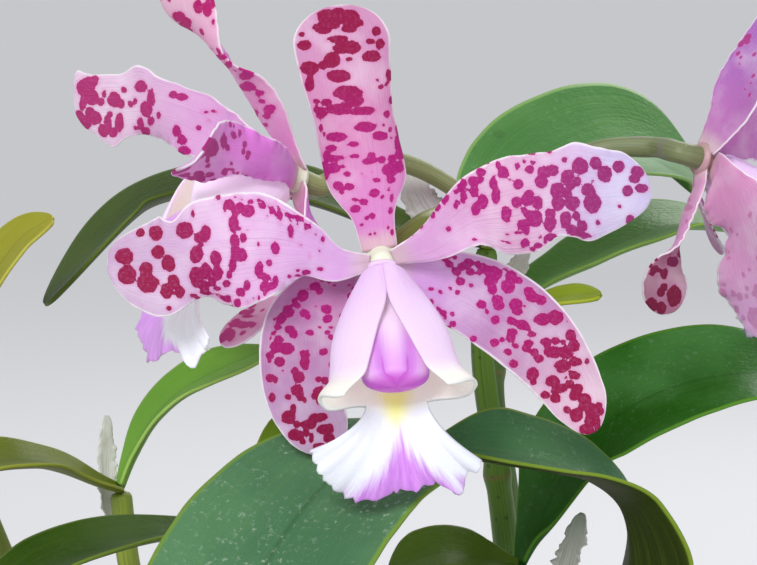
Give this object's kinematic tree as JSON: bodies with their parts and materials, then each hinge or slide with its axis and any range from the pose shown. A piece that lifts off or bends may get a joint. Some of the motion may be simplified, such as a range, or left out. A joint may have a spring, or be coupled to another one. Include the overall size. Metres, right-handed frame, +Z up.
{
  "type": "potted cattleya orchid plant",
  "caption": "Potted orchid plant in bloom: spotted lilac flowers with white and purple lips over slim canes with leathery leaves, in a plain clay pot.",
  "frame": {"origin": "centre of the pot's flat underside", "axes": "+Z up along the pot's axis, -Y towards the viewer that the front bloom looks at, +X to that viewer's right"},
  "size_m": [0.2088, 0.1362, 0.2851],
  "materials": {
    "petal": "soft satin",
    "lip": "soft satin",
    "column": "waxy",
    "stalk": "satin",
    "leaf": "satin",
    "cane": "satin",
    "paper": "matt",
    "root": "matt",
    "bark": "matt",
    "clay": "matt"
  },
  "bodies": {
    "root": {"front_bloom_dorsal_sepal": "petal", "front_bloom_left_petal": "petal", "front_bloom_right_petal": "petal", "front_bloom_left_sepal": "petal", "front_bloom_right_sepal": "petal", "front_bloom_lip": "lip", "front_bloom_column": "column", "left_bloom_dorsal_sepal": "petal", "left_bloom_left_petal": "petal", "left_bloom_right_petal": "petal", "left_bloom_left_sepal": "petal", "left_bloom_right_sepal": "petal", "left_bloom_lip": "lip", "left_bloom_column": "column", "right_bloom_dorsal_sepal": "petal", "right_bloom_left_petal": "petal", "right_bloom_right_petal": "petal", "right_bloom_left_sepal": "petal", "right_bloom_right_sepal": "petal", "right_bloom_lip": "lip", "right_bloom_column": "column", "flower_stalks": "stalk", "leaf_back_right": "leaf", "leaf_back_left": "leaf", "leaf_rear_right": "leaf", "leaf_small": "leaf", "leaf_right": "leaf", "leaf_low_back": "leaf", "leaf_low_front": "leaf", "leaf_front": "leaf", "leaf_front_right": "leaf", "leaf_left": "leaf", "leaf_left_upright": "leaf", "leaf_low_left": "leaf", "leaf_middle": "leaf", "leaf_far_left": "leaf", "leaf_far_left_low": "leaf", "cane_flowering": "cane", "cane_front": "cane", "cane_right": "cane", "cane_back": "cane", "cane_left": "cane", "cane_left_front": "cane", "cane_far_left": "cane", "sheath_spathe": "paper", "sheath_left": "paper", "sheath_right": "paper", "sheath_back": "paper", "rhizome_and_roots": "root", "bark": "bark", "pot": "clay"}
  },
  "joints": []
}
